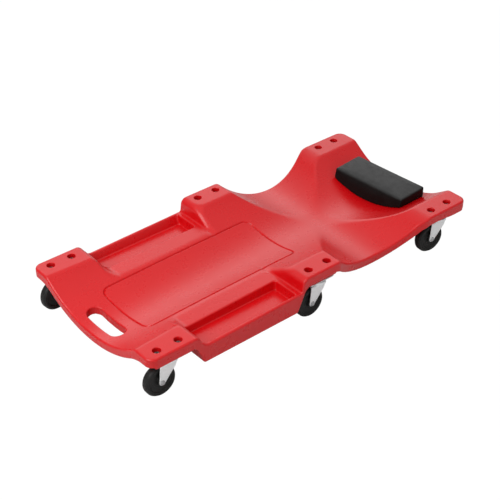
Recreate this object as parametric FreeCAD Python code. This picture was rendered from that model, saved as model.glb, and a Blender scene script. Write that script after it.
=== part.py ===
import FreeCAD, Part
import math
import os

from FreeCAD import Vector as V

# ---------------------------------------------------------------------------
# Mechanic creeper, moulded one-piece deck on six swivel plate casters.
# Millimetres. +X runs from the foot end to the head end, +Y to the left of a
# person lying on it, +Z up. Positions along X are drawn from the middle of the
# wheelbase; the origin is on the floor under the middle of the whole box, and
# every piece is moved there when it is written.
# ---------------------------------------------------------------------------

# overall
FOOT_EDGE, HEAD_EDGE = -502.0, 515.0
ORIGIN_X = (FOOT_EDGE + HEAD_EDGE) / 2
HALF_W = 236.0               # half width over pads and trays
PAD_Z = 124.0                # top of the foot and head pads above the floor
MID_RISE = 8.5               # the deck is bowed: the middle pads stand higher
PAD_T = 24.0                 # depth of the pads and of their skirts
SKIN_T = 22.0                # depth of the double wall in trough and valley
WALL = 3.2                   # skin of the blow moulding, which is hollow

# lying trough: an arc across the deck, bowed along it
TROUGH_R = 300.0
TROUGH_DROP = 54.0           # below the pads
BOW_R = 11388.0              # radius of the bow, highest at the middle casters
FALL = ((40.0, 0.045), (200.0, 0.020), (560.0, 0.0))   # from these X on the trough falls towards the head

# caster pivots
X_FOOT, X_MID, X_HEAD = -435.0, 11.5, 435.0
Y_CASTER = 210.0
BOLT_PITCH = 58.6            # the two bolts of one plate, along X

# pads and shelf along X
FOOT_PAD_END = -366.5
SHELF_X0, SHELF_X1 = -352.0, -58.5
SHELF_Z0, SHELF_Z1 = 91.0, 96.3
MID_FRONT = ((-55.4, 119.0), (-50.6, 128.3), (-41.5, 132.5))   # steep front of the middle pads, rounded over

# waist valley: a cylinder across the deck
VALLEY_X = 214.5
VALLEY_R = 205.0
VALLEY_BOTTOM = 68.5

# waist in plan
WAIST_HALF = 204.5
WAIST_X0, WAIST_X1 = 66.0, 363.0
CORNER_R = 22.0

# tool trays
TRAY_BOTTOM = 45.0
TRAY_IN_Y = 143.0            # inner wall of the tray box under the deck
POCKET_X0, POCKET_X1 = -349.0, -73.0
POCKET_Y0, POCKET_Y1 = 153.0, 230.0
POCKET_FLOOR = 72.0
POCKET_R = 7.0
POCKET_LEAN = 10.5           # the outer wall leans in by this much from rim to floor

# handle slot and engraved panel line
SLOT_X, SLOT_LEN, SLOT_W = -453.0, 128.0, 40.0
LINE_X0, LINE_X1, LINE_Y, LINE_R, LINE_W, LINE_D = -403.5, 49.5, 94.0, 20.0, 2.0, 1.0

# bolt recesses
RECESS_R = 10.0
RECESS_FLOOR = 110.0
BOLT_R = 4.0
BOLT_HOLE_R = 4.25

# caster
MOUNT_Z = 100.0              # underside of the pads, top of the plates
PLATE_T = 2.5
PLATE_L, PLATE_W = 84.0, 44.0
RACE_Z = 94.4                # underside of the race pressed in the plate
CROWN_TOP, CROWN_T = 88.0, 2.5
LEG_IN, LEG_T = 13.0, 2.5    # inner face of a fork leg from the wheel plane
TRAIL = 27.0
LEG_BACK, LEG_FRONT, LEG_TIP = -31.0, 13.0, 8.0   # fork leg at the crown, and the radius round the axle
LEG_SHOULDER = 76.0          # the leading edge of a leg is upright above this height
WHEEL_R, WHEEL_W = 40.0, 22.0
SWIVEL = {"foot_left": 5.0, "foot_right": -2.0, "head_right": -6.0}   # degrees that casters stand turned
TURNING = ("balls", "fork", "axle", "bush", "wheel")
AXLE_R = 4.0
BUSH_R = 6.0
RUN = 0.06                   # radial running clearance
BALL_R, BALL_RING_R, BALLS = 3.0, 15.0, 10
PIN_R = 5.0

# headrest
HEAD_X, HEAD_Y, HEAD_LX, HEAD_LY, HEAD_TOP = 428.5, -3.0, 95.0, 229.0, 116.0
HEAD_TURN = 4.0              # the cushion is fitted a little out of square
COVER_T = 1.2
BOARD_T = 5.0

OUT = "parts"
os.makedirs(OUT, exist_ok=True)


# ------------------------------------------------------------------ helpers
def wire_xy(points):
    """closed wire from segments: ('l', p) line to p, ('a', mid, p) arc to p"""
    start = points[0]
    edges, cur = [], start
    for seg in points[1:]:
        if seg[0] == "l":
            edges.append(Part.LineSegment(cur, seg[1]).toShape())
            cur = seg[1]
        else:
            edges.append(Part.Arc(cur, seg[1], seg[2]).toShape())
            cur = seg[2]
    if cur.distanceToPoint(start) > 1e-6:
        edges.append(Part.LineSegment(cur, start).toShape())
    return Part.Wire(edges)


def face(points):
    return Part.Face(wire_xy(points))


def prism_y(points, y0, y1, inset=0.0):
    """XZ profile (pairs) pushed along Y from y0 to y1, its outline drawn in by inset"""
    pts = [V(points[0][0], y0, points[0][1])]
    for p in points[1:]:
        if len(p) == 2:
            pts.append(("l", V(p[0], y0, p[1])))
        else:
            pts.append(("a", V(p[0], y0, p[1]), V(p[2], y0, p[3])))
    f = face(pts)
    if inset:
        f = f.makeOffset2D(-inset)
    return f.extrude(V(0, y1 - y0, 0))


def rounded_box(x0, x1, y0, y1, z0, z1, r):
    b = Part.makeBox(x1 - x0, y1 - y0, z1 - z0, V(x0, y0, z0))
    upright = [e for e in b.Edges if abs(e.Vertexes[0].Z - e.Vertexes[1].Z) > 1e-6]
    return b.makeFillet(r, upright)


def cyl(r, z0, z1, x=0.0, y=0.0):
    return Part.makeCylinder(r, z1 - z0, V(x, y, z0))


def cyl_y(r, y0, y1, x=0.0, z=0.0):
    return Part.makeCylinder(r, y1 - y0, V(x, y0, z), V(0, 1, 0))


def fuse_all(shapes):
    out = shapes[0]
    for s in shapes[1:]:
        out = out.fuse(s)
    return out.removeSplitter()


def mirror_y(shape):
    return shape.mirror(V(0, 0, 0), V(0, 1, 0))


def save(name, shape):
    if not shape.isValid():
        shape.fix(1e-4, 1e-4, 1e-3)
    shape = shape.translated(V(-ORIGIN_X, 0, 0))
    shape.exportStep(os.path.join(OUT, name + ".step"))
    print("%-26s solids %3d  valid %s  %10.1f mm3" % (name, len(shape.Solids), shape.isValid(), shape.Volume))


# --------------------------------------------------------------------- deck
BED_Z = PAD_Z - TROUGH_DROP + MID_RISE          # trough bottom at the middle
ARC_C = BED_Z + TROUGH_R                        # centre of the trough's arc there
AXIS_Z = BED_Z - BOW_R                          # axis of the bow


def bowed_disc(r, sweep=3.4):
    """round bar of radius r that follows the bow and falls towards the head: the free space over an arc"""
    circle = Part.Circle(V(X_MID, 0, ARC_C), V(1, 0, 0), r)
    disc = Part.Face(Part.Wire([circle.toShape()]))
    turn = math.degrees(math.asin((FALL[0][0] - X_MID) / BOW_R))
    start = disc.copy()
    start.rotate(V(X_MID, 0, AXIS_Z), V(0, 1, 0), -sweep)
    bar = start.revolve(V(X_MID, 0, AXIS_Z), V(0, 1, 0), sweep + turn)
    end = disc.copy()
    end.rotate(V(X_MID, 0, AXIS_Z), V(0, 1, 0), turn)
    for (x0, fall), (x1, _) in zip(FALL[:-1], FALL[1:]):
        run = V(x1 - x0, 0, -(x1 - x0) * fall)
        bar = bar.fuse(end.extrude(run))
        end.translate(run)
    return bar


def arc_at(x_c, z_c, r, z):
    return math.sqrt(r * r - (z_c - z) ** 2)


VALLEY_C = VALLEY_BOTTOM + VALLEY_R
va = arc_at(VALLEY_X, VALLEY_C, VALLEY_R, PAD_Z + MID_RISE)
vb = arc_at(VALLEY_X, VALLEY_C, VALLEY_R, PAD_Z)
vc = arc_at(VALLEY_X, VALLEY_C, VALLEY_R + SKIN_T, PAD_Z + MID_RISE - PAD_T)
vd = arc_at(VALLEY_X, VALLEY_C, VALLEY_R + SKIN_T, PAD_Z - PAD_T)
MID_Z = PAD_Z + MID_RISE
END = HEAD_EDGE + 30


def outline(inset=0.0):
    """plan of the deck, drawn in by inset"""
    w, r = HALF_W, CORNER_R
    xe = HEAD_EDGE
    xf = FOOT_EDGE + 1.5
    k = r * (1 - math.sqrt(0.5))
    # right half of the plan, foot to head, then the left half back again
    right = [
        ("l", V(xf, -(w - r), 0)),
        ("a", V(xf + k, -(w - k), 0), V(xf + r, -w, 0)),
        ("l", V(WAIST_X0 - 12, -w, 0)),
        ("a", V(WAIST_X0 - 4, -w + 1.0, 0), V(WAIST_X0 + 4, -w + 3.2, 0)),
        ("a", V(VALLEY_X, -WAIST_HALF, 0), V(WAIST_X1 - 4, -w + 3.2, 0)),
        ("a", V(WAIST_X1 + 4, -w + 1.0, 0), V(WAIST_X1 + 12, -w, 0)),
        ("l", V(xe - r, -w, 0)),
        ("a", V(xe - k, -(w - k), 0), V(xe, -(w - r), 0)),
        ("l", V(xe, -180, 0)),
        ("a", V(xe - 4, 0, 0), V(xe, 180, 0)),
        ("l", V(xe, w - r, 0)),
        ("a", V(xe - k, w - k, 0), V(xe - r, w, 0)),
        ("l", V(WAIST_X1 + 12, w, 0)),
        ("a", V(WAIST_X1 + 4, w - 1.0, 0), V(WAIST_X1 - 4, w - 3.2, 0)),
        ("a", V(VALLEY_X, WAIST_HALF, 0), V(WAIST_X0 + 4, w - 3.2, 0)),
        ("a", V(WAIST_X0 - 4, w - 1.0, 0), V(WAIST_X0 - 12, w, 0)),
        ("l", V(xf + r, w, 0)),
        ("a", V(xf + k, w - k, 0), V(xf, w - r, 0)),
        ("l", V(xf, 165, 0)),
        ("a", V(FOOT_EDGE, 0, 0), V(xf, -165, 0)),
    ]
    f = face([V(xf, -165, 0)] + right)
    if inset:
        f = f.makeOffset2D(-inset)
    return f.extrude(V(0, 0, 160)).translate(V(0, 0, 10))


def moulding(t):
    """outside of the moulding without its holes, with every skin drawn in by t"""
    top_bar = bowed_disc(TROUGH_R + t)
    low_bar = bowed_disc(TROUGH_R + SKIN_T - t)
    y = HALF_W + 10

    # everything under the roof line: pads, tray shelf, middle pads, valley
    roof = prism_y([
        (-END, 30), (-END, PAD_Z), (FOOT_PAD_END, PAD_Z), (SHELF_X0, SHELF_Z0),
        (SHELF_X1, SHELF_Z1), *MID_FRONT, (VALLEY_X - va, MID_Z),
        (VALLEY_X, VALLEY_BOTTOM, VALLEY_X + vb, PAD_Z), (END, PAD_Z), (END, 30)], -y, y, t)
    trough = low_bar.cut(top_bar).common(roof)

    # pads at the foot end, running down into the tray's end wall
    foot = prism_y([
        (-END, PAD_Z), (FOOT_PAD_END, PAD_Z), (SHELF_X0, SHELF_Z0), (SHELF_X0, SHELF_Z0 - 8),
        (-368.5, 89), (-390.5, PAD_Z - PAD_T), (-END, PAD_Z - PAD_T)], -y, y, t)
    # middle pads, waist valley and head pads
    rest = prism_y([
        (SHELF_X1, SHELF_Z1), *MID_FRONT, (VALLEY_X - va, MID_Z),
        (VALLEY_X, VALLEY_BOTTOM, VALLEY_X + vb, PAD_Z), (END, PAD_Z), (END, PAD_Z - PAD_T),
        (VALLEY_X + vd, PAD_Z - PAD_T), (VALLEY_X, VALLEY_BOTTOM - SKIN_T, VALLEY_X - vc, MID_Z - PAD_T),
        (-32, MID_Z - PAD_T), (-47, 91), (SHELF_X1, 80)], -y, y, t)
    shell = trough.fuse([foot.cut(top_bar), rest.cut(top_bar)])

    # tray boxes hung under the shelf, and bosses that bring the middle plates level
    tray = prism_y([
        (-368.5, 89), (SHELF_X0 - 3, SHELF_Z0 - 1), (SHELF_X0, SHELF_Z0), (SHELF_X1, SHELF_Z1),
        (SHELF_X1 + 5, SHELF_Z1), (-47, 91), (-57, 76), (-71, TRAY_BOTTOM), (-350.5, TRAY_BOTTOM)], TRAY_IN_Y + t, y, t)
    more = [tray, mirror_y(tray)]
    if not t:
        boss = rounded_box(X_MID - 50, X_MID + 50, Y_CASTER - 29, Y_CASTER + 22, MOUNT_Z, MID_Z - 12, 12)
        more += [boss, mirror_y(boss)]
    return shell.fuse(more).common(outline(t)).removeSplitter()


def openings(t):
    """tray pockets and handle slot, grown by t"""
    pocket = rounded_box(POCKET_X0 - t, POCKET_X1 + t, POCKET_Y0 - t, POCKET_Y1 + t, POCKET_FLOOR - t, 150, POCKET_R + t)
    corner = [(POCKET_Y1 + t, SHELF_Z1), (POCKET_Y1 + t, POCKET_FLOOR - t), (POCKET_Y1 + 1.1 * t - POCKET_LEAN, POCKET_FLOOR - t)]
    lean = Part.Face(Part.makePolygon([V(POCKET_X0 - 30, py, pz) for py, pz in corner + corner[:1]])).extrude(V(POCKET_X1 - POCKET_X0 + 60, 0, 0))
    pocket = pocket.cut(lean)
    half, w = (SLOT_LEN - SLOT_W) / 2, SLOT_W / 2 + t
    slot = fuse_all([
        Part.makeBox(2 * w, 2 * half, 90, V(SLOT_X - w, -half, 30)),
        cyl(w, 30, 120, SLOT_X, -half), cyl(w, 30, 120, SLOT_X, half)])
    return [pocket, mirror_y(pocket), slot]


def deck():
    body = moulding(0)

    # the hollow between the skins; it stops at the pockets, the slot, the bolt
    # columns and the two screw columns, where the skins are pressed together
    hollow = moulding(WALL)
    keep = openings(WALL)
    for x in (X_FOOT, X_MID, X_HEAD):
        for s in (-1, 1):
            for b in (-1, 1):
                keep.append(cyl(RECESS_R + WALL, 20, 150, x + b * BOLT_PITCH / 2, s * Y_CASTER))
    for sx in SCREW_X:
        keep.append(cyl(11, 20, 150, sx, 0))
    for k in keep:
        hollow = hollow.cut(k)

    tools = openings(0)

    # bolt recesses and holes, screw holes under the headrest
    for x in (X_FOOT, X_MID, X_HEAD):
        for s in (-1, 1):
            for b in (-1, 1):
                px, py = x + b * BOLT_PITCH / 2, s * Y_CASTER
                tools.append(cyl(RECESS_R, RECESS_FLOOR, 150, px, py))
                tools.append(cyl(BOLT_HOLE_R, 90, RECESS_FLOOR, px, py))
    for sx in SCREW_X:
        tools.append(cyl(2.5, 30, 90, sx, 0))
        tools.append(cyl(7.0, 30, SCREW_SEAT, sx, 0))
    for t in tools:
        body = body.cut(t)

    # engraved panel line
    frame = rounded_box(LINE_X0 - LINE_W / 2, LINE_X1 + LINE_W / 2, -LINE_Y - LINE_W / 2, LINE_Y + LINE_W / 2, 60, 140, LINE_R)
    frame = frame.cut(rounded_box(LINE_X0 + LINE_W / 2, LINE_X1 - LINE_W / 2, -LINE_Y + LINE_W / 2, LINE_Y - LINE_W / 2, 50, 150, LINE_R - LINE_W))
    body = body.cut(frame.common(bowed_disc(TROUGH_R + LINE_D)))
    for cell in sorted(hollow.Solids, key=lambda c: -c.Volume):
        print("  hollow cell %.0f mm3" % cell.Volume)
        if cell.Volume > 2000:
            body = body.cut(cell)
    return body


# ----------------------------------------------------------------- headrest
SCREW_X = (HEAD_X - 30, HEAD_X + 30)


def bed(x):
    """height of the trough's bottom line"""
    z = AXIS_Z + math.sqrt(BOW_R ** 2 - (min(x, FALL[0][0]) - X_MID) ** 2)
    for (x0, fall), (x1, _) in zip(FALL[:-1], FALL[1:]):
        z -= fall * max(0.0, min(x, x1) - x0)
    return z


SCREW_SEAT = bed(HEAD_X + 30) - SKIN_T + 2.0


def pad_block(inset):
    b = rounded_box(HEAD_X - HEAD_LX / 2 + inset, HEAD_X + HEAD_LX / 2 - inset,
                    HEAD_Y - HEAD_LY / 2 + inset, HEAD_Y + HEAD_LY / 2 - inset, 40, HEAD_TOP - inset, 9 - inset)
    rim = [e for e in b.Edges if min(v.Z for v in e.Vertexes) > HEAD_TOP - inset - 0.1]
    b = b.makeFillet(8 - inset, rim)
    b.rotate(V(HEAD_X, HEAD_Y, 0), V(0, 0, 1), HEAD_TURN)
    return b


def seat_bar(r, x0=300.0, x1=560.0, w=175.0):
    """free space over the trough under the headrest, down to radius r: one arc pushed along the fall"""
    zc = bed(x0) + TROUGH_R
    zw = zc - math.sqrt(r * r - w * w)
    arc = face([V(x0, -w, zw), ("a", V(x0, 0, zc - r), V(x0, w, zw)), ("l", V(x0, w, zw + 40)), ("l", V(x0, -w, zw + 40))])
    return arc.extrude(V(x1 - x0, 0, bed(x1) - bed(x0)))


def headrest():
    gap = 0.3
    holes = [cyl(2.5, 30, 100, x, 0) for x in SCREW_X]
    cover = pad_block(0).common(seat_bar(TROUGH_R - gap))
    cover = cover.cut(pad_block(COVER_T).common(seat_bar(TROUGH_R - gap - COVER_T)))
    inner = pad_block(COVER_T + 0.1)
    board = pad_block(6.5).common(seat_bar(TROUGH_R - gap - COVER_T - 0.1)).cut(seat_bar(TROUGH_R - gap - COVER_T - 0.1 - BOARD_T))
    foam = inner.common(seat_bar(TROUGH_R - gap - COVER_T - 0.2 - BOARD_T))
    for h in holes:
        cover, board, foam = cover.cut(h), board.cut(h), foam.cut(h)
    screws = []
    for x in SCREW_X:
        shaft = cyl(2.45, SCREW_SEAT, bed(x) + 12, x, 0)
        head = Part.makeCone(3.4, 5.0, 2.8, V(x, 0, SCREW_SEAT - 2.8))
        s = head.fuse(shaft).removeSplitter()
        for a in (0, 90):
            cross = Part.makeBox(6, 1.0, 1.6, V(-3, -0.5, 0))
            cross.rotate(V(0, 0, 0), V(0, 0, 1), a)
            s = s.cut(cross.translate(V(x, 0, SCREW_SEAT - 2.8)))
        screws.append(s)
    return cover, foam, board, Part.makeCompound(screws)


# ------------------------------------------------------------------ casters
def hexagon(flats, z0, z1):
    r = flats / 2 / math.cos(math.pi / 6)
    pts = [V(r * math.cos(math.radians(60 * i + 30)), r * math.sin(math.radians(60 * i + 30)), z0) for i in range(6)]
    return Part.Face(Part.makePolygon(pts + [pts[0]])).extrude(V(0, 0, z1 - z0))


def caster():
    """one caster about its own swivel axis, wheel trailing towards -X"""
    ax, az = -TRAIL, WHEEL_R
    under = MOUNT_Z - PLATE_T

    plate = rounded_box(-PLATE_L / 2, PLATE_L / 2, -PLATE_W / 2, PLATE_W / 2, under, MOUNT_Z, 14)
    plate = plate.fuse(cyl(20, RACE_Z, under).cut(cyl(10.5, RACE_Z, under))).removeSplitter()
    plate = plate.cut(cyl(PIN_R + 0.05, 80, 110))
    for b in (-1, 1):
        plate = plate.cut(cyl(BOLT_HOLE_R, 80, 110, b * BOLT_PITCH / 2, 0))

    crown_low = CROWN_TOP - CROWN_T
    pin = cyl(PIN_R, crown_low - 0.3, MOUNT_Z - 0.1)
    pin = pin.fuse(Part.makeCone(6.5, 9.0, 2.7, V(0, 0, crown_low - 3.0))).removeSplitter()

    balls = []
    zc = (CROWN_TOP + RACE_Z) / 2
    for i in range(BALLS):
        a = 2 * math.pi * i / BALLS
        balls.append(Part.makeSphere(BALL_R, V(BALL_RING_R * math.cos(a), BALL_RING_R * math.sin(a), zc)))
    balls = Part.makeCompound(balls)

    # fork: two tapered legs joined by the crown, with the ball cup on top
    y0, y1 = LEG_IN, LEG_IN + LEG_T
    tip = LEG_TIP
    top_a, top_b, shoulder = (LEG_BACK, CROWN_TOP), (LEG_FRONT, CROWN_TOP), (LEG_FRONT, LEG_SHOULDER)

    def tangent(p, side):
        dx, dz = ax - p[0], az - p[1]
        d = math.hypot(dx, dz)
        base = math.atan2(dz, dx)
        t = base + side * math.asin(tip / d)
        length = math.sqrt(d * d - tip * tip)
        return (p[0] + length * math.cos(t), p[1] + length * math.sin(t))

    ta, tb = tangent(top_a, -1), tangent(shoulder, 1)
    leg = prism_y([top_a, top_b, shoulder, tb, (ax, az - tip, ta[0], ta[1])], y0, y1)
    crown = prism_y([(LEG_BACK, crown_low), (LEG_FRONT, crown_low), (LEG_FRONT, CROWN_TOP), (LEG_BACK, CROWN_TOP)], -y0, y0)
    cup = cyl(21.5, CROWN_TOP - 1, 93.8).cut(cyl(19.5, CROWN_TOP - 1, 93.8))
    disc = cyl(21.5, crown_low, CROWN_TOP)
    fork = fuse_all([leg, mirror_y(leg), crown, disc, cup.common(Part.makeBox(60, 60, 10, V(-30, -30, CROWN_TOP)))])
    bend = [e for e in fork.Edges
            if abs(e.BoundBox.YLength) < 1e-6 and abs(abs(e.BoundBox.YMin) - y1) < 1e-6
            and abs(e.BoundBox.ZMin - CROWN_TOP) < 1e-6 and e.BoundBox.ZLength < 1e-6 and e.Length > 3]
    if bend:
        fork = fork.makeFillet(2.0, bend)
    fork = fork.cut(cyl(PIN_R + 0.08, 60, 110))
    fork = fork.cut(cyl_y(AXLE_R + 0.05, -30, 30, ax, az))

    # axle riveted over the legs, spacer bush, wheel
    axle = fuse_all([
        cyl_y(AXLE_R, -y1 - 0.05, y1 + 0.05, ax, az),
        Part.makeCone(6.4, 4.6, 2.4, V(ax, y1 + 0.05, az), V(0, 1, 0)),
        Part.makeCone(6.4, 4.6, 2.4, V(ax, -y1 - 0.05, az), V(0, -1, 0))])
    bush = cyl_y(BUSH_R, -y0 + 0.05, y0 - 0.05, ax, az).cut(cyl_y(AXLE_R + 0.05, -y0, y0, ax, az))

    w, hub = WHEEL_W / 2, y0 - 0.5
    prof = [
        (BUSH_R + RUN, -hub), ("l", 11, -hub), ("l", 12, -w + 5), ("l", 29, -w + 4), ("l", 31, -w + 0.6),
        ("l", 36, -w), ("a", 39.0, -w + 1.8, WHEEL_R, -w + 5.5), ("l", WHEEL_R, w - 5.5),
        ("a", 39.0, w - 1.8, 36, w), ("l", 31, w - 0.6), ("l", 29, w - 4), ("l", 12, w - 5), ("l", 11, hub),
        ("l", BUSH_R + RUN, hub)]
    pts = [V(ax + prof[0][0], prof[0][1], az)]
    for p in prof[1:]:
        if p[0] == "l":
            pts.append(("l", V(ax + p[1], p[2], az)))
        else:
            pts.append(("a", V(ax + p[1], p[2], az), V(ax + p[3], p[4], az)))
    wheel = face(pts).revolve(V(ax, 0, az), V(0, 1, 0), 360)
    if wheel.Volume < 0:
        wheel.reverse()
    wheel = Part.Solid(wheel.Shells[0]) if wheel.ShapeType != "Solid" else wheel
    return {"plate": plate, "kingpin": pin, "balls": balls, "fork": fork, "axle": axle, "bush": bush, "wheel": wheel}


def fasteners():
    bolts, washers, nuts = [], [], []
    seat = RECESS_FLOOR
    for x in (X_FOOT, X_MID, X_HEAD):
        for s in (-1, 1):
            for b in (-1, 1):
                at = V(x + b * BOLT_PITCH / 2, s * Y_CASTER, 0)
                bolt = cyl(BOLT_R, 90.5, seat + 1.7).fuse(Part.makeCone(7.4, 5.2, 4.6, V(0, 0, seat + 1.7))).removeSplitter()
                for a in (0, 90):
                    cross = Part.makeBox(7, 1.4, 3, V(-3.5, -0.7, seat + 4.2))
                    cross.rotate(V(0, 0, 0), V(0, 0, 1), a + 20 * b + 35)
                    bolt = bolt.cut(cross)
                washer = cyl(8.6, seat + 0.02, seat + 1.6).cut(cyl(BOLT_HOLE_R, seat, seat + 2))
                nut = hexagon(13.0, 91.4, MOUNT_Z - PLATE_T - 0.02).cut(cyl(BOLT_R + 0.05, 80, 110))
                bolts.append(bolt.translate(at))
                washers.append(washer.translate(at))
                nuts.append(nut.translate(at))
    return Part.makeCompound(bolts), Part.makeCompound(washers), Part.makeCompound(nuts)


# ------------------------------------------------------------------- write
save("deck", deck())
for name, shape in zip(("headrest_cover", "headrest_foam", "headrest_board", "headrest_screws"), headrest()):
    save(name, shape)
for name, shape in zip(("caster_bolts", "caster_washers", "caster_nuts"), fasteners()):
    save(name, shape)
pieces = caster()
for end, x in (("foot", X_FOOT), ("mid", X_MID), ("head", X_HEAD)):
    for side, s in (("left", 1), ("right", -1)):
        for part, shape in pieces.items():
            shape = shape.copy()
            if part in TURNING:
                shape.rotate(V(0, 0, 0), V(0, 0, 1), SWIVEL.get(end + "_" + side, 0.0))
            save("%s_%s_%s" % (end, side, part), shape.translated(V(x, s * Y_CASTER, 0)))
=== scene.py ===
import math

import bpy
import numpy as np
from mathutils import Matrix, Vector


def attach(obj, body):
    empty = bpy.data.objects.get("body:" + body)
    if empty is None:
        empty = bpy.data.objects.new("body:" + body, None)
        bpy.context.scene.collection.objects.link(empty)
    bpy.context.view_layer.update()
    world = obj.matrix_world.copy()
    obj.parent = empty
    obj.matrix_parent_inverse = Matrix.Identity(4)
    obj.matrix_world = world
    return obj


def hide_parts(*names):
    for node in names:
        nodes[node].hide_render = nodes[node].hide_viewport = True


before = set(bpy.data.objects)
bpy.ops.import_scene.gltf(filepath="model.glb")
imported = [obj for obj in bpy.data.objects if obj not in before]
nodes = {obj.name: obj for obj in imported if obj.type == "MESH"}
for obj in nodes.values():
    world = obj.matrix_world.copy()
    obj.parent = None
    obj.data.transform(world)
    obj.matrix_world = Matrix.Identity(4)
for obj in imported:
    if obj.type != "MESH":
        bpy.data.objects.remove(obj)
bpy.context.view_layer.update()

scene = bpy.context.scene
MM = 0.001
ORIGIN_X = 6.5      # shapes are drawn from the middle of the wheelbase, the frame's origin is this much further
CORNERS = [(e, s) for e in ("foot", "mid", "head") for s in ("left", "right")]
PIVOT_X = {"foot": -435.0, "mid": 11.5, "head": 435.0}
PIVOT_Y = {"left": 210.0, "right": -210.0}
SWIVEL = {"foot_left": 5.0, "foot_right": -2.0, "head_right": -6.0}     # degrees that casters stand turned


# =============================================================================
# distance fields: millimetres, negative inside
# =============================================================================
def rmax(a, b, r):
    """both at once, the edge between them rounded to radius r"""
    u, v = np.maximum(r + a, 0), np.maximum(r + b, 0)
    return np.minimum(-r, np.maximum(a, b)) + np.sqrt(u * u + v * v)


def rmin(a, b, r):
    """either one, with a fillet of radius r where they meet"""
    u, v = np.maximum(r - a, 0), np.maximum(r - b, 0)
    return np.maximum(r, np.minimum(a, b)) - np.sqrt(u * u + v * v)


def smax(a, b, k):
    """both at once, softened over a band k wide"""
    h = np.maximum(k - np.abs(a - b), 0) / k
    return np.maximum(a, b) + h * h * k * 0.25


def slope(x, z, x0, z0, x1, z1):
    """distance from the line through two XZ points, positive on its left"""
    dx, dz = x1 - x0, z1 - z0
    return ((z - z0) * dx - (x - x0) * dz) / np.hypot(dx, dz)


def step(t):
    t = np.clip(t, 0, 1)
    return t * t * (3 - 2 * t)


# ------------------------------------------------------------------- the deck
PAD_Z, MID_Z = 124.0, 132.5
X_MID, BOW_R = 11.5, 11388.0
TROUGH_R, SKIN = 300.0, 22.0
BED_Z = 78.5
HALF_W, FOOT_EDGE, HEAD_EDGE = 236.0, -502.0, 515.0
VALLEY_X, VALLEY_R = 214.5, 205.0
BOLTS_X = (-464.3, -405.7, -17.8, 40.8, 405.7, 464.3)
SCREWS_X = (398.5, 458.5)


def bed(x):
    """height of the trough's bottom line: bowed, then falling through the waist to the head"""
    a, b, c = np.clip(x - 5.0, 0, 70), np.clip(x - 75.0, 0, 90), np.clip(x - 165.0, 0, 70)
    z = BED_Z - (np.minimum(x, 5.0) - X_MID) ** 2 / (2 * BOW_R)
    z = z + 0.0006 * a - 0.0456 / 140 * a * a - 0.045 * b
    return z - 0.045 * c + 0.025 / 140 * c * c - 0.020 * np.maximum(x - 235.0, 0)


SCREW_SEAT = float(bed(458.5)) - SKIN + 2.0


def plan(x, ay):
    """outline seen from above"""
    foot = FOOT_EDGE + np.minimum(ay, 165.0) ** 2 / 18150.0 - x
    head = x - HEAD_EDGE + 4.0 - 4.0 * (np.minimum(ay, 180.0) / 180.0) ** 2
    side = ay - HALF_W
    waist = 383.1 - np.sqrt((x - VALLEY_X) ** 2 + (ay - 587.6) ** 2)
    side = smax(side, waist, 2.5)
    return rmax(rmax(side, foot, 22.0), head, 22.0)


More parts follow.
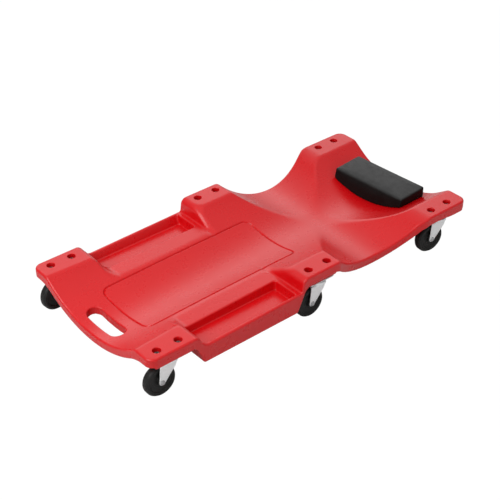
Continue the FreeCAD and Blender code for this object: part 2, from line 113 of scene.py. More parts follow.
def deck_field(x, y, z):
    ay = np.abs(y)
    rho = np.sqrt(y * y + (z - bed(x) - TROUGH_R) ** 2)
    dip = 71.2 - 3.7 * (np.minimum(ay, 210.0) / 204.0) ** 2
    along = x - VALLEY_X
    along = np.where(along > 0, along / 1.022, along)
    valley = np.sqrt(along ** 2 + (z - dip - VALLEY_R) ** 2)

    # upper side: foot pads, tray shelf, middle pads, waist valley, head pads, and the trough through them all
    foot = rmax(z - PAD_Z, slope(x, z, -366.5, PAD_Z, -352.0, 91.0), 10.0)
    shelf = np.maximum(slope(x, z, -352.0, 91.0, -58.5, 96.3), x + 40)
    mid = rmax(z - MID_Z, slope(x, z, -58.5, 96.3, -53.4, MID_Z), 15.0)
    mid = smax(mid, VALLEY_R - valley, 5.0)
    head = smax(z - PAD_Z, VALLEY_R - valley, 18.0)
    rest = np.where(x < VALLEY_X, mid, head)
    roof = rmin(rmin(foot, shelf, 16.0), rest, 4.0)
    soft = 3.6 + 13.0 * np.exp(-((x + 50.0) / 13.0) ** 2) + 8.0 * np.exp(-((x + 360.0) / 12.0) ** 2)
    wall = 2.9 * step((x - 330.0) / 80.0) * step((ay - 115.0) / 50.0)
    top = smax(TROUGH_R - wall - rho, roof, soft)

    # under side: the second skin, the tray boxes and the bosses of the middle casters
    low = rho - (TROUGH_R + SKIN)
    footlow = np.maximum(PAD_Z - 24 - z, x + 352)
    restlow = np.where(x < VALLEY_X, MID_Z - 24 - z, PAD_Z - 24 - z)
    restlow = np.maximum(rmin(restlow, valley - (VALLEY_R + 22), 10.0), -(x + 54))
    tray = np.maximum(143.0 - ay, 45.0 - z)
    tray = rmax(tray, slope(x, z, -352.5, 45.0, -370.5, 89.0), 4.0)
    tray = rmax(tray, slope(x, z, -57.0, 76.0, -71.0, 45.0), 5.0)
    boss = rmax(rmax(np.abs(x - X_MID) - 50, np.abs(ay - 206.5) - 25.5, 12.0), 100 - z, 2.5)
    low = rmin(low, footlow, 12.0)
    low = rmin(low, restlow, 12.0)
    low = rmin(low, tray, 16.0)
    low = rmin(low, boss, 5.0)

    # the outer edge of the foot and head pads hangs a little lower than their undersides
    drop = 4.5 * step((-372.0 - x) / 20.0) + 5.0 * step((x - 410.0) / 60.0)
    rim = np.where(drop > 0, np.maximum(232.4 - ay, PAD_Z - 24.0 - drop - z), 1000.0)
    low = rmin(low, rim, 0.8)

    f = rmax(top, plan(x, ay), 5.0)
    f = rmax(f, low, 3.0)

    # tray pockets: the outer wall leans, the head end is upright, the floor is filleted
    dz = np.clip(96.0 - z, 0, 30)
    qx = np.abs(x + 211.0 - 0.125 * dz) - (138.0 - 0.205 * dz) + 6
    qy = np.abs(ay - 190.7 + 0.175 * dz) - (37.7 - 0.275 * dz) + 6
    d = np.sqrt(np.maximum(qx, 0) ** 2 + np.maximum(qy, 0) ** 2) + np.minimum(np.maximum(qx, qy), 0) - 6
    f = rmax(f, -rmax(d, 72.0 - z, 2.0), 3.0)

    # handle slot
    d = np.sqrt((x + 454.5) ** 2 + np.maximum(ay - 44.0, 0) ** 2) - 19.7
    f = rmax(f, -d, 3.0)

    # bolt recesses, and the seats of the headrest's screws underneath
    for bx in BOLTS_X:
        d = np.sqrt((x - bx) ** 2 + (ay - 210.0) ** 2) - 10.0
        f = rmax(f, -np.maximum(d, 110.0 - z), 1.2)
    for sx in SCREWS_X:
        d = np.sqrt((x - sx) ** 2 + ay * ay) - 7.0
        f = rmax(f, -np.maximum(d, z - SCREW_SEAT), 0.8)

    # engraved panel line
    gx = np.abs(x + 177.0) - 226.5 + 20
    gy = ay - 94.0 + 20
    g = np.sqrt(np.maximum(gx, 0) ** 2 + np.maximum(gy, 0) ** 2) + np.minimum(np.maximum(gx, gy), 0) - 20
    return f + np.where(top > -8, 3.4 * np.exp(-(g / 1.65) ** 2), 0.0)


# ------------------------------------------------------- fork of one caster
TRAIL, WHEEL_R = 27.0, 40.0
LEG_BACK, LEG_FRONT, LEG_TIP, LEG_SHOULDER = -31.0, 13.0, 8.0, 76.0


def tangent_line(x0, z0, cx, cz, r, side):
    """unit normal of the line from (x0, z0) that touches a circle, pointing away from the circle's middle"""
    d = math.hypot(cx - x0, cz - z0)
    t = math.atan2(cz - z0, cx - x0) + side * math.asin(r / d)
    ux, uz = math.cos(t), math.sin(t)
    nx, nz = uz, -ux
    if nx * (cx - x0) + nz * (cz - z0) > 0:
        nx, nz = -nx, -nz
    return nx, nz


BACK_EDGE = tangent_line(LEG_BACK, 88.0, -TRAIL, WHEEL_R, LEG_TIP, -1)
LEAD_EDGE = tangent_line(LEG_FRONT, LEG_SHOULDER, -TRAIL, WHEEL_R, LEG_TIP, 1)


def fork_field(x, y, z):
    """about the swivel axis, wheel trailing towards -X"""
    ay = np.abs(y)
    back = (x - LEG_BACK) * BACK_EDGE[0] + (z - 88.0) * BACK_EDGE[1]
    lead = (x - LEG_FRONT) * LEAD_EDGE[0] + (z - LEG_SHOULDER) * LEAD_EDGE[1]
    lead = rmax(lead, x - LEG_FRONT, 5.0)
    # the chord through the two points of contact parts the straight edges from the round tip
    cx, cz = BACK_EDGE[0] + LEAD_EDGE[0], BACK_EDGE[1] + LEAD_EDGE[1]
    n = math.hypot(cx, cz)
    chord = ((x + TRAIL) * cx + (z - WHEEL_R) * cz) / n - LEG_TIP * n / 2
    round_tip = np.sqrt((x + TRAIL) ** 2 + (z - WHEEL_R) ** 2) - LEG_TIP
    side = np.maximum(np.maximum(back, lead), np.minimum(chord, round_tip))

    # bent strip: a channel with rounded shoulders, its edges rolled in
    outer = rmax(ay - 15.5, z - 88.0, 3.6)
    inner = rmax(ay - 13.0, z - 85.5, 1.2)
    strip = rmax(outer, side, 2.0)
    strip = rmax(strip, -inner, 0.35)

    # crown disc and the ball cup on it
    r = np.sqrt(x * x + y * y)
    disc = rmax(rmax(r - 21.5, 85.5 - z, 1.6), z - 88.0, 0.3)
    cup = rmax(np.maximum(r - 21.5, 19.5 - r), z - 93.8, 0.5)
    cup = np.maximum(cup, 87.0 - z)
    f = rmin(rmin(strip, disc, 1.2), cup, 1.0)

    # kingpin and axle holes
    f = rmax(f, 5.08 - r, 0.3)
    return rmax(f, 4.05 - np.sqrt((x + TRAIL) ** 2 + (z - WHEEL_R) ** 2), 0.3)


# ------------------------------------------------------------------ headrest
HEAD_X, HEAD_Y, HEAD_LX, HEAD_LY, HEAD_TOP = 428.5, -3.0, 95.0, 229.0, 116.0
TURN = math.radians(4.0)


def pad_field(x, y, z, inset=0.0):
    """block with rounded upright corners and top edges and a leaning front, lying in the trough a little out of square"""
    dx, dy = x - HEAD_X, y - HEAD_Y
    u = dx * math.cos(TURN) + dy * math.sin(TURN)
    front = (-u - HEAD_LX / 2 + inset + 0.2 * (z - 98.0)) / 1.02
    qx = np.maximum(u - (HEAD_LX / 2 + 1.0 - inset), front)
    qy = np.abs(dy * math.cos(TURN) - dx * math.sin(TURN)) - (HEAD_LY / 2 - inset)
    lip = 3.5 + 2.0 * step(0.5 - u / 70)
    f = rmax(rmax(qx, qy, 4.5), z - (HEAD_TOP - inset), lip)
    rho = np.sqrt(y * y + (z - bed(x) - TROUGH_R) ** 2)
    return rmax(f, rho - (TROUGH_R - 0.4), 2.0)


# =============================================================================
# surface of a field as a quad mesh
# =============================================================================
def lines(lo, hi, coarse, zones):
    """grid lines from lo to hi: coarse steps, finer in zones (a, b, step), eased between"""
    def size(p):
        s = coarse
        for a, b, fine in zones:
            gap = 0 if a <= p <= b else min(abs(p - a), abs(p - b))
            s = min(s, fine + 0.35 * gap)
        return s
    pts = [lo]
    while pts[-1] < hi:
        s = size(pts[-1])
        pts.append(pts[-1] + min(s, size(pts[-1] + s)))
    p = np.array(pts)
    return lo + (p - lo) * (hi - lo) / (p[-1] - lo)


def surface_net(xs, ys, zs, field):
    nx, ny, nz = len(xs), len(ys), len(zs)
    F = np.empty((nx, ny, nz), np.float32)
    Y, Z = np.meshgrid(ys, zs, indexing="ij")
    for i0 in range(0, nx, 16):
        F[i0:i0 + 16] = field(xs[i0:i0 + 16, None, None], Y[None], Z[None])
    inside = F < 0
    count = np.zeros((nx - 1, ny - 1, nz - 1), np.float32)
    total = np.zeros((3, nx - 1, ny - 1, nz - 1), np.float32)
    grid = (xs, ys, zs)
    crossings = []
    for a in range(3):
        s0, s1 = [slice(None)] * 3, [slice(None)] * 3
        s0[a], s1[a] = slice(0, -1), slice(1, None)
        m = inside[tuple(s0)] != inside[tuple(s1)]
        idx = np.argwhere(m)
        f0, f1 = F[tuple(s0)][m], F[tuple(s1)][m]
        p = np.stack([grid[b][idx[:, b]] for b in range(3)], 1).astype(np.float64)
        p[:, a] += f0 / (f0 - f1) * (grid[a][idx[:, a] + 1] - grid[a][idx[:, a]])
        b, c = [q for q in range(3) if q != a]
        for db in (0, 1):
            for dc in (0, 1):
                k = idx.copy()
                k[:, b] -= db
                k[:, c] -= dc
                np.add.at(count, tuple(k.T), 1)
                for d in range(3):
                    np.add.at(total[d], tuple(k.T), p[:, d])
        crossings.append((idx, f0 < 0))
    has = count > 0
    number = -np.ones(count.shape, np.int64)
    number[has] = np.arange(has.sum())
    verts = np.stack([total[d][has] / count[has] for d in range(3)], 1).astype(np.float64)
    quads = []
    for a in range(3):
        idx, neg = crossings[a]
        b, c = [(1, 2), (2, 0), (0, 1)][a]
        corner = []
        for db, dc in ((1, 1), (0, 1), (0, 0), (1, 0)):
            k = idx.copy()
            k[:, b] -= db
            k[:, c] -= dc
            corner.append(number[tuple(k.T)])
        q = np.stack(corner, 1)
        q[~neg] = q[~neg][:, ::-1]
        quads.append(q)
    return verts, np.concatenate(quads)


def gradient(field, v, h=0.05):
    g = np.empty_like(v)
    for a in range(3):
        d = np.zeros(3)
        d[a] = h
        p, m = v + d, v - d
        g[:, a] = (field(p[:, 0], p[:, 1], p[:, 2]) - field(m[:, 0], m[:, 1], m[:, 2])) / (2 * h)
    return g


def project(field, v, rounds=4, cap=1.5):
    """moves points onto the surface"""
    v = v.copy()
    for _ in range(rounds):
        f = field(v[:, 0], v[:, 1], v[:, 2])
        g = gradient(field, v)
        move = -(f / np.maximum((g * g).sum(1), 0.05))[:, None] * g
        length = np.linalg.norm(move, axis=1)
        v += move * np.minimum(1, cap / np.maximum(length, 1e-9))[:, None]
    return v


def normals_of(field, v):
    g = gradient(field, v)
    return g / np.maximum(np.linalg.norm(g, axis=1), 1e-9)[:, None]


# =============================================================================
# meshes and objects
# =============================================================================
def mesh_of(name, verts, faces):
    """mesh in metres from millimetre points and faces that all have the same number of corners"""
    me = bpy.data.meshes.new(name)
    n, k = faces.shape
    me.vertices.add(len(verts))
    me.vertices.foreach_set("co", (np.asarray(verts) * MM).astype(np.float32).ravel())
    me.loops.add(n * k)
    me.loops.foreach_set("vertex_index", faces.astype(np.int32).ravel())
    me.polygons.add(n)
    me.polygons.foreach_set("loop_start", (np.arange(n) * k).astype(np.int32))
    me.update(calc_edges=True)
    me.validate()
    me.polygons.foreach_set("use_smooth", np.ones(len(me.polygons), bool))
    return me


def put(name, me, material, body, at=(0, 0, 0), replaces=(), turn=0.0):
    ob = bpy.data.objects.new(name, me)
    scene.collection.objects.link(ob)
    ob.location = ((at[0] - ORIGIN_X) * MM, at[1] * MM, at[2] * MM)
    ob.rotation_euler = (0, 0, turn)
    if material is not None:
        me.materials.clear()
        me.materials.append(material)
    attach(ob, body)
    if replaces:
        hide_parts(*replaces)
    return ob


def points_of(me):
    co = np.empty(len(me.vertices) * 3, np.float32)
    me.vertices.foreach_get("co", co)
    return co.reshape(-1, 3).astype(np.float64)


def field_mesh(name, xs, ys, zs, field, tris=None):
    """surface of a field, thinned to at most tris triangles, with the field's own normals"""
    v, q = surface_net(xs, ys, zs, field)
    v = project(field, v)
    me = mesh_of(name, v, q)
    if tris and 2 * len(q) > tris:
        tmp = bpy.data.objects.new(name + "_tmp", me)
        scene.collection.objects.link(tmp)
        d = tmp.modifiers.new("thin", "DECIMATE")
        d.ratio = tris / (2.0 * len(q))
        dg = bpy.context.evaluated_depsgraph_get()
        thin = bpy.data.meshes.new_from_object(tmp.evaluated_get(dg))
        bpy.data.objects.remove(tmp)
        bpy.data.meshes.remove(me)
        me = thin
        me.name = name
        v = project(field, points_of(me) / MM, rounds=2, cap=0.4)
        me.vertices.foreach_set("co", (v * MM).astype(np.float32).ravel())
        me.update()
        me.polygons.foreach_set("use_smooth", np.ones(len(me.polygons), bool))
    v = points_of(me) / MM
    me.normals_split_custom_set_from_vertices(normals_of(field, v).tolist())
    return me


def lathe_y(name, profile, segments=112):
    """closed ring of (radius, y) points turned about the Y axis"""
    p = np.asarray(profile, float)
    n = len(p)
    a = np.arange(segments) * 2 * math.pi / segments
    v = np.stack([
        (p[None, :, 0] * np.cos(a)[:, None]).ravel(),
        np.broadcast_to(p[None, :, 1], (segments, n)).ravel(),
        (p[None, :, 0] * np.sin(a)[:, None]).ravel()], 1)
    i, j = np.meshgrid(np.arange(segments), np.arange(n), indexing="ij")
    i2, j2 = (i + 1) % segments, (j + 1) % n
    f = np.stack([i * n + j, i * n + j2, i2 * n + j2, i2 * n + j], -1).reshape(-1, 4)
    return mesh_of(name, v, f)


def rounded_path(points, radii, arc_steps=5):
    """closed polygon with its corners rounded, as points"""
    out = []
    n = len(points)
    for i in range(n):
        p = np.array(points[i], float)
        a, b = np.array(points[i - 1], float) - p, np.array(points[(i + 1) % n], float) - p
        la, lb = np.linalg.norm(a), np.linalg.norm(b)
        a, b = a / la, b / lb
        ang = math.acos(max(-1, min(1, float(a @ b))))
        r = radii[i]
        if r <= 0 or ang > math.pi - 0.02:
            out.append(p)
            continue
        t = min(r / math.tan(ang / 2), 0.48 * la, 0.48 * lb)
        r = t * math.tan(ang / 2)
        mid = (a + b) / np.linalg.norm(a + b)
        c = p + mid * (r / math.sin(ang / 2))
        s, e = p + a * t - c, p + b * t - c
        turn = math.atan2(s[0] * e[1] - s[1] * e[0], float(s @ e))
        for k in range(arc_steps + 1):
            w = turn * k / arc_steps
            out.append(c + np.array([s[0] * math.cos(w) - s[1] * math.sin(w), s[0] * math.sin(w) + s[1] * math.cos(w)]))
    return np.array(out)


def divided(path, longest):
    """closed path with long runs split evenly"""
    out = []
    for i in range(len(path)):
        a, b = path[i], path[(i + 1) % len(path)]
        m = max(1, int(math.ceil(np.linalg.norm(b - a) / longest)))
        out += [a + (b - a) * k / m for k in range(m)]
    return np.array(out)


# =============================================================================
# materials
# =============================================================================
class Mat:
    """a Principled material with a few node helpers"""

    def __init__(self, name, **values):
        self.m = bpy.data.materials.new(name)
        self.m.use_nodes = True
        self.t = self.m.node_tree
        self.bsdf = self.t.nodes["Principled BSDF"]
        for k, v in values.items():
            self.bsdf.inputs[k.replace("_", " ")].default_value = v
        self.co = self.node("ShaderNodeTexCoord").outputs["Object"]

    def node(self, kind, **props):
        n = self.t.nodes.new(kind)
        for k, v in props.items():
            setattr(n, k, v)
        return n

    def link(self, a, b):
        self.t.links.new(a, b)

    def stretch(self, scale):
        n = self.node("ShaderNodeMapping")
        n.inputs["Scale"].default_value = scale
        self.link(self.co, n.inputs["Vector"])
        return n.outputs["Vector"]

    def noise(self, scale, detail=3.0, rough=0.5, co=None):
        n = self.node("ShaderNodeTexNoise")
        n.inputs["Scale"].default_value = scale
        n.inputs["Detail"].default_value = detail
        n.inputs["Roughness"].default_value = rough
        self.link(co or self.co, n.inputs["Vector"])
        return n.outputs["Fac"]

    def cells(self, scale, feature="F1", out="Distance", co=None, jitter=1.0):
        n = self.node("ShaderNodeTexVoronoi", feature=feature)
        n.inputs["Scale"].default_value = scale
        n.inputs["Randomness"].default_value = jitter
        self.link(co or self.co, n.inputs["Vector"])
        return n.outputs[out]

    def ramp(self, fac, stops):
        n = self.node("ShaderNodeValToRGB")
        while len(n.color_ramp.elements) < len(stops):
            n.color_ramp.elements.new(0.5)
        for e, (pos, c) in zip(n.color_ramp.elements, stops):
            e.position = pos
            e.color = (*c, 1.0)
        self.link(fac, n.inputs["Fac"])
        return n.outputs["Color"]

    def range(self, fac, lo, hi, a=0.0, b=1.0):
        n = self.node("ShaderNodeMapRange")
        n.inputs["From Min"].default_value = a
        n.inputs["From Max"].default_value = b
        n.inputs["To Min"].default_value = lo
        n.inputs["To Max"].default_value = hi
        self.link(fac, n.inputs["Value"])
        return n.outputs["Result"]

    def math(self, op, a, b):
        n = self.node("ShaderNodeMath", operation=op)
        for i, v in enumerate((a, b)):
            if isinstance(v, (int, float)):
                n.inputs[i].default_value = v
            else:
                self.link(v, n.inputs[i])
        return n.outputs[0]

    def color(self, out):
        self.link(out, self.bsdf.inputs["Base Color"])

    def rough(self, out):
        self.link(out, self.bsdf.inputs["Roughness"])

    def bump(self, height, distance, strength=1.0, over=None):
        n = self.node("ShaderNodeBump")
        n.inputs["Distance"].default_value = distance
        n.inputs["Strength"].default_value = strength
        self.link(height, n.inputs["Height"])
        if over is not None:
            self.link(over, n.inputs["Normal"])
        self.link(n.outputs["Normal"], self.bsdf.inputs["Normal"])
        return n.outputs["Normal"]


def red_plastic():
    m = Mat("red_moulded_plastic", IOR=1.5)
    m.color(m.ramp(m.noise(5.0, 4.0), [(0.30, (0.600, 0.0012, 0.0034)), (0.70, (0.640, 0.0018, 0.0044))]))
    # the pads are moulded a little coarser than the trough
    at = m.node("ShaderNodeSeparateXYZ")
    m.link(m.co, at.inputs[0])
    high = m.range(at.outputs["Z"], 0.0, 1.0, 0.112, 0.121)
    wide = m.range(m.math("ABSOLUTE", at.outputs["Y"], 0.0), 0.0, 1.0, 0.168, 0.182)
    pads = m.math("MULTIPLY", high, wide)
    fine = m.range(m.noise(26.0, 5.0, 0.6), 0.26, 0.30, 0.3, 0.7)
    m.rough(m.math("ADD", fine, m.math("MULTIPLY", pads, 0.05)))
    wavy = m.bump(m.noise(34.0, 2.0), 0.0006, 0.08)
    m.bump(m.noise(1500.0, 2.0, 0.6), 0.00005, 0.2, over=wavy)
    return m.m


def black_vinyl():
    m = Mat("black_vinyl", IOR=1.5)
    m.color(m.ramp(m.noise(30.0, 4.0), [(0.30, (0.0045, 0.0042, 0.0041)), (0.70, (0.0065, 0.0061, 0.0059))]))
    m.rough(m.range(m.noise(60.0, 4.0), 0.40, 0.52, 0.3, 0.7))
    # painted sheen: the reflection is made stronger where the surface faces up and weaker where it faces sideways, so
    # the top panel reads lighter than the side band
    facing_for_painted_sheen = m.node("ShaderNodeSeparateXYZ")
    m.link(m.node("ShaderNodeNewGeometry").outputs["Normal"], facing_for_painted_sheen.inputs[0])
    m.link(m.range(facing_for_painted_sheen.outputs["Z"], 0.10, 0.5, 0.40, 0.90), m.bsdf.inputs["Specular IOR Level"])
    grain = m.cells(620.0, feature="DISTANCE_TO_EDGE")
    pebble = m.range(grain, 0.0, 1.0, 0.0, 0.28)
    first = m.bump(pebble, 0.00016, 0.8)
    m.bump(m.noise(2100.0, 2.0), 0.00004, 0.6, over=first)
    return m.m


def zinc(name, light, rough):
    m = Mat(name, Metallic=1.0)
    spangle = m.cells(240.0, out="Color")
    bw = m.node("ShaderNodeRGBToBW")
    m.link(spangle, bw.inputs["Color"])
    mix = m.math("ADD", m.math("MULTIPLY", bw.outputs[0], 0.5), m.math("MULTIPLY", m.noise(45.0, 4.0), 0.5))
    lo = tuple(c * (light - 0.05) for c in (0.985, 0.995, 1.0))
    hi = tuple(c * (light + 0.03) for c in (0.985, 0.995, 1.0))
    m.color(m.ramp(mix, [(0.25, lo), (0.75, hi)]))
    m.rough(m.range(mix, rough - 0.06, rough + 0.06, 0.25, 0.75))
    m.bump(m.noise(900.0, 3.0, 0.6), 0.00003, 0.5)
    return m.m


def steel(name, tint, rough):
    m = Mat(name, Metallic=1.0)
    n = m.noise(160.0, 5.0, 0.6)
    m.color(m.ramp(n, [(0.25, tuple(c * 0.86 for c in tint)), (0.75, tint)]))
    m.rough(m.range(n, rough - 0.07, rough + 0.09, 0.25, 0.75))
    m.bump(m.noise(1400.0, 3.0, 0.6), 0.00003, 0.5)
    return m.m


def wheel_plastic():
    m = Mat("wheel_black_plastic", IOR=1.40)
    m.color(m.ramp(m.noise(70.0, 5.0, 0.6), [(0.25, (0.0042, 0.0039, 0.0036)), (0.75, (0.0078, 0.0072, 0.0067))]))
    m.rough(m.range(m.noise(140.0, 5.0, 0.6), 0.42, 0.58, 0.3, 0.7))
    m.bump(m.noise(1300.0, 3.0, 0.65), 0.00006, 0.6)
    return m.m


def nylon():
    m = Mat("white_nylon", IOR=1.53, Subsurface_Weight=0.1)
    m.color(m.ramp(m.noise(200.0, 4.0), [(0.3, (0.66, 0.64, 0.58)), (0.7, (0.76, 0.74, 0.69))]))
    m.rough(m.range(m.noise(300.0, 4.0), 0.38, 0.52, 0.3, 0.7))
    return m.m


def plywood():
    m = Mat("headrest_plywood", IOR=1.45)
    co = m.stretch((14.0, 160.0, 900.0))
    n = m.noise(1.6, 6.0, 0.6, co=co)
    m.color(m.ramp(n, [(0.25, (0.36, 0.215, 0.105)), (0.5, (0.52, 0.345, 0.185)), (0.8, (0.62, 0.44, 0.26))]))
    m.rough(m.range(n, 0.62, 0.78, 0.2, 0.8))
    m.bump(n, 0.0002, 0.5)
    return m.m


def foam():
    m = Mat("grey_foam", Subsurface_Weight=0.05)
    n = m.cells(900.0)
    m.color(m.ramp(n, [(0.0, (0.16, 0.16, 0.16)), (0.8, (0.30, 0.30, 0.30))]))
    m.rough(m.range(n, 0.82, 0.95))
    m.bump(n, 0.0003, 0.8)
    return m.m


RED, VINYL, BLACK, NYLON, PLY, FOAM = red_plastic(), black_vinyl(), wheel_plastic(), nylon(), plywood(), foam()
ZINC_FORK = zinc("zinc_plated_fork", 0.94, 0.36)
ZINC_PLATE = zinc("zinc_plated_plate", 0.74, 0.40)
STEEL = steel("bright_steel", (0.62, 0.62, 0.63), 0.30)
BOLT = steel("plated_bolt", (0.30, 0.29, 0.28), 0.34)
RIVET = steel("dull_rivet", (0.50, 0.50, 0.51), 0.38)

# every node carried over from the frame gets its finish
for name, ob in nodes.items():
    if name.endswith("_plate"):
        m = ZINC_PLATE
    elif name.endswith("_fork"):
        m = ZINC_FORK
    elif name.endswith("_wheel"):
        m = BLACK
    elif name.endswith("_bush"):
        m = NYLON
    elif name.endswith("_axle"):
        m = RIVET
    elif name in ("caster_bolts", "caster_washers", "caster_nuts"):
        m = BOLT
    elif name == "deck":
        m = RED
    elif name == "headrest_cover":
        m = VINYL
    elif name == "headrest_foam":
        m = FOAM
    elif name == "headrest_board":
        m = PLY
    else:
        m = STEEL
    ob.data.materials.clear()
    ob.data.materials.append(m)


# =============================================================================
# pieces
# =============================================================================
def build_deck():
    zx = [(b - 12, b + 12, 1.6) for b in BOLTS_X]
    zx += [(s - 9, s + 9, 2.0) for s in SCREWS_X]
    zx += [(-504, -494, 1.6), (-479, -435, 2.6), (-372, -340, 2.2), (-80, -70, 1.6), (-62, -38, 1.8), (500, 517, 1.7)]
    zx += [(-406, -382, 0.95), (28, 51, 0.95), (56, 76, 2.6), (340, 372, 3.0)]
    xs = lines(-507.3, 520.3, 6.5, zx)
    zy = [(0, 10, 2.4), (72, 96.5, 0.95), (149, 158, 1.7), (158, 190, 3.0), (198, 222, 1.6), (222, 239, 1.4)]
    yp = lines(0.0, 240.3, 5.5, zy)
    ys = np.concatenate([-yp[:0:-1], yp])
    zs = lines(36.1, 136.2, 3.0, [(120, 134, 1.5), (86, 98, 1.6), (42, 50, 1.8), (70, 80, 2.0), (93, 112, 1.8)])
    me = field_mesh("deck_skin", xs, ys, zs, deck_field, tris=194000)
    return put("deck_skin", me, RED, "deck_body", replaces=["deck"])


def build_forks():
    xs = lines(-39.0, 25.0, 1.15, [(-37, -16, 0.9)])
    yp = lines(0.0, 24.0, 1.2, [(12.2, 16.4, 0.6), (19, 22, 0.6)])
    ys = np.concatenate([-yp[:0:-1], yp])
    zs = lines(27.5, 96.0, 1.2, [(28, 48, 0.9), (84.5, 94.5, 0.6)])
    me = field_mesh("caster_fork_skin", xs, ys, zs, fork_field)
    for e, s in CORNERS:
        c = e + "_" + s
        t = math.radians(SWIVEL.get(c, 0.0))
        put(c + "_fork_skin", me, ZINC_FORK, c + "_swivel_body", (PIVOT_X[e], PIVOT_Y[s], 0), [c + "_fork"], t)


def wheel_profile():
    """half section of a wheel as a closed ring of (radius, y): tread, shoulder, rim face with ridges, web, hub"""
    half = [
        ((6.1, 12.4), 0.3), ((10.6, 12.4), 0.9), ((11.6, 6.3), 1.6), ((14.5, 6.2), 0.5), ((15.2, 6.9), 0.5),
        ((16.4, 6.9), 0.5), ((17.1, 6.3), 0.5), ((28.4, 7.0), 1.8), ((30.2, 10.2), 1.0), ((31.6, 10.3), 0.3),
        ((32.0, 9.8), 0.2), ((32.6, 9.8), 0.2), ((33.0, 10.5), 0.3), ((36.2, 10.95), 1.5), ((40.0, 6.0), 4.5)]
    right = [(p, r) for p, r in half]
    left = [((p[0], -p[1]), r) for p, r in reversed(half)]
    ring = right + left
    return divided(rounded_path([p for p, _ in ring], [r for _, r in ring], 4), 3.2)


def build_wheels():
    me = lathe_y("caster_wheel_skin", wheel_profile())
    for e, s in CORNERS:
        c = e + "_" + s
        t = math.radians(SWIVEL.get(c, 0.0))
        at = (PIVOT_X[e] - TRAIL * math.cos(t), PIVOT_Y[s] - TRAIL * math.sin(t), WHEEL_R)
        put(c + "_wheel_skin", me, BLACK, c + "_wheel_body", at, [c + "_wheel"], t)


def simulate(ob, pins, pressure=4.0, frames=20, cap=5.0):
    """blows a closed mesh up a little with cloth, and returns its points in millimetres"""
    start = points_of(ob.data) / MM
    group = ob.vertex_groups.new(name="held")
    for i, w in enumerate(pins):
        if w > 0:
            group.add([i], float(w), "REPLACE")
    cloth = ob.modifiers.new("cloth", "CLOTH")
    s = cloth.settings
    s.quality = 6
    s.mass = 0.3
    s.tension_stiffness = s.compression_stiffness = 160.0
    s.shear_stiffness = 110.0
    s.bending_stiffness = 30.0
    s.use_pressure = True
    s.uniform_pressure_force = pressure
    s.effector_weights.gravity = 0.0
    s.vertex_group_mass = "held"
    cloth.collision_settings.use_collision = False
    cloth.point_cache.frame_start, cloth.point_cache.frame_end = 1, frames
    for f in range(1, frames + 1):
        scene.frame_set(f)
    dg = bpy.context.evaluated_depsgraph_get()
    e = ob.evaluated_get(dg)
    co = np.empty(len(e.data.vertices) * 3, np.float32)
    e.data.vertices.foreach_get("co", co)
    end = co.reshape(-1, 3).astype(np.float64) / MM
    ob.modifiers.remove(cloth)
    ob.vertex_groups.remove(group)
    scene.frame_set(1)
    move = end - start
    length = np.linalg.norm(move, axis=1)
    return start + move * (np.tanh(length / cap) * cap / np.maximum(length, 1e-9))[:, None]


def build_headrest():
    def field(x, y, z):
        return pad_field(x, y, z, -0.4)
    xs = np.linspace(366.0, 491.0, 47)
    ys = np.linspace(-126.0, 120.0, 92)
    zs = np.linspace(60.0, 120.0, 25)
    v, q = surface_net(xs, ys, zs, field)
    v = project(field, v)
    me = mesh_of("headrest_cushion", v, q)
    ob = bpy.data.objects.new("headrest_cushion", me)
    scene.collection.objects.link(ob)
    rho = np.sqrt(v[:, 1] ** 2 + (v[:, 2] - bed(v[:, 0]) - TROUGH_R) ** 2)
    pins = np.where(rho > TROUGH_R - 3.0, 1.0, 0.0)
    moved = simulate(ob, pins)
    far = np.linalg.norm(moved - v, axis=1)
    print("cushion moved mm: mean %.2f max %.2f, top %.2f to %.2f" % (far.mean(), far.max(), v[:, 2].max(), moved[:, 2].max()))
    v = moved
    me.vertices.foreach_set("co", (v * MM).astype(np.float32).ravel())
    me.update()
    sub = ob.modifiers.new("smooth", "SUBSURF")
    sub.levels = sub.render_levels = 1
    dg = bpy.context.evaluated_depsgraph_get()
    fine = bpy.data.meshes.new_from_object(ob.evaluated_get(dg))
    ob.modifiers.clear()
    ob.data = fine
    fine.name = "headrest_cushion"
    bpy.data.meshes.remove(me)
    fine.polygons.foreach_set("use_smooth", np.ones(len(fine.polygons), bool))
    fine.materials.clear()
    fine.materials.append(VINYL)
    ob.location = (-ORIGIN_X * MM, 0, 0)
    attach(ob, "deck_body")
    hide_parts("headrest_cover", "headrest_foam")
    return ob


build_deck()
build_forks()
build_wheels()
build_headrest()


# =============================================================================
# floor, light and camera
# =============================================================================
def build_floor():
    """plain white floor for the eye, and under it a grey one that the light and the mirror images of the object meet"""
    def sheet(name, z, low, high, glow):
        m = Mat(name, Roughness=0.9, Specular_IOR_Level=0.0)
        m.color(m.ramp(m.noise(2.0, 2.0), [(0.3, (low, low, low)), (0.7, (high, high, high))]))
        m.bsdf.inputs["Emission Color"].default_value = (1, 1, 1, 1)
        m.bsdf.inputs["Emission Strength"].default_value = glow
        me = bpy.data.meshes.new(name)
        s = 40.0
        me.from_pydata([(-s, -s, z), (s, -s, z), (s, s, z), (-s, s, z)], [], [(0, 1, 2, 3)])
        me.materials.append(m.m)
        ob = bpy.data.objects.new(name, me)
        scene.collection.objects.link(ob)
        return ob
    seen = sheet("studio_floor", -0.0004, 0.02, 0.03, 1.0)
    seen.visible_diffuse = seen.visible_glossy = seen.visible_shadow = False
    lit = sheet("studio_floor_lit", -0.0008, 0.54, 0.58, 0.04)
    lit.visible_camera = False


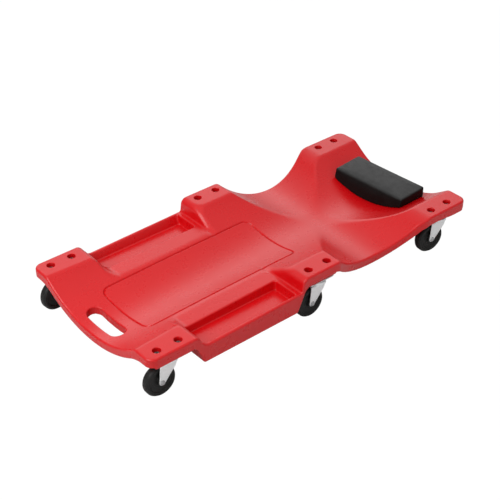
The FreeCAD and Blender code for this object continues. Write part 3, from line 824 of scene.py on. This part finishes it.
def build_world():
    """plain white behind the object; the light it gives comes from a soft sky with a bright screen at the back"""
    w = bpy.data.worlds.new("studio")
    scene.world = w
    w.use_nodes = True
    t = w.node_tree
    bg = t.nodes["Background"]
    co = t.nodes.new("ShaderNodeTexCoord")
    sep = t.nodes.new("ShaderNodeSeparateXYZ")
    t.links.new(co.outputs["Generated"], sep.inputs[0])

    def calc(op, a, b):
        n = t.nodes.new("ShaderNodeMath")
        n.operation = op
        for i, v in enumerate((a, b)):
            if isinstance(v, (int, float)):
                n.inputs[i].default_value = v
            else:
                t.links.new(v, n.inputs[i])
        return n.outputs[0]

    def ramp(fac, stops):
        n = t.nodes.new("ShaderNodeValToRGB")
        while len(n.color_ramp.elements) < len(stops):
            n.color_ramp.elements.new(0.5)
        for e, (p, v) in zip(n.color_ramp.elements, stops):
            e.position = p
            e.color = (v / 3, v / 3, v / 3, 1)
        t.links.new(fac, n.inputs["Fac"])
        return calc("MULTIPLY", n.outputs["Color"], 3.0)

    up = sep.outputs["Z"]
    level = calc("SQRT", calc("MAXIMUM", calc("SUBTRACT", 1.0, calc("MULTIPLY", up, up)), 0.0001), 0.0)

    def towards(degrees, lo, hi):
        """0 to 1 as the direction turns towards a compass bearing counted from +X"""
        a = math.radians(degrees)
        along = calc("ADD", calc("MULTIPLY", sep.outputs["X"], math.cos(a)), calc("MULTIPLY", sep.outputs["Y"], math.sin(a)))
        n = t.nodes.new("ShaderNodeMapRange")
        n.interpolation_type = "SMOOTHSTEP"
        n.inputs["From Min"].default_value = lo
        n.inputs["From Max"].default_value = hi
        t.links.new(calc("DIVIDE", along, level), n.inputs["Value"])
        return n.outputs["Result"]

    sky = ramp(up, [(0.0, 0.42), (0.30, 0.42), (0.70, 0.48), (0.85, 0.75), (1.0, 1.0)])
    screen = ramp(up, [(0.0, 0.10), (0.14, 0.35), (0.26, 0.65), (0.37, 1.20), (0.46, 1.70), (0.53, 1.50), (0.60, 0.85), (0.68, 0.35), (0.80, 0.0)])
    shade = ramp(up, [(0.0, 0.75), (0.20, 0.70), (0.42, 0.0)])
    gap = calc("SUBTRACT", 1.0, calc("MULTIPLY", shade, towards(140, 0.45, 0.95)))
    light = calc("ADD", calc("MULTIPLY", sky, gap), calc("MULTIPLY", screen, towards(60, 0.74, 0.975)))
    seen = t.nodes.new("ShaderNodeLightPath").outputs["Is Camera Ray"]
    light = calc("MAXIMUM", light, seen)
    light = calc("MINIMUM", light, calc("SUBTRACT", 4.0, calc("MULTIPLY", seen, 3.0)))
    t.links.new(light, bg.inputs["Strength"])
    bg.inputs["Color"].default_value = (1, 1, 1, 1)


def area_light(name, at, to, size, power, mirrored=True):
    d = bpy.data.lights.new(name, "AREA")
    d.energy = power
    d.size = size
    ob = bpy.data.objects.new(name, d)
    scene.collection.objects.link(ob)
    ob.location = at
    ob.rotation_mode = "QUATERNION"
    ob.rotation_quaternion = (Vector(to) - Vector(at)).to_track_quat("-Z", "Y")
    ob.visible_glossy = mirrored
    ob.visible_camera = False


def build_camera():
    cam = bpy.data.cameras.new("camera")
    cam.lens = 88.451
    cam.sensor_width = 36.0
    cam.clip_start, cam.clip_end = 0.05, 200.0
    ob = bpy.data.objects.new("camera", cam)
    scene.collection.objects.link(ob)
    a, e = math.radians(-40.3815), math.radians(34.5122)
    back = Vector((math.sin(a) * math.cos(e), -math.cos(a) * math.cos(e), math.sin(e)))
    ob.location = (-1.65092 - ORIGIN_X * MM, -1.91756, 1.81072)
    ob.rotation_mode = "QUATERNION"
    ob.rotation_quaternion = (-back).to_track_quat("-Z", "Y")
    scene.camera = ob


build_floor()
build_world()
area_light("key", (-2.16, -0.15, 2.1), (0, 0, 0.08), 2.1, 54.0)
area_light("fill", (0.3, -2.6, 1.5), (0, 0, 0.08), 2.2, 7.0, mirrored=False)
build_camera()
scene.view_settings.view_transform = "Standard"
scene.view_settings.look = "None"
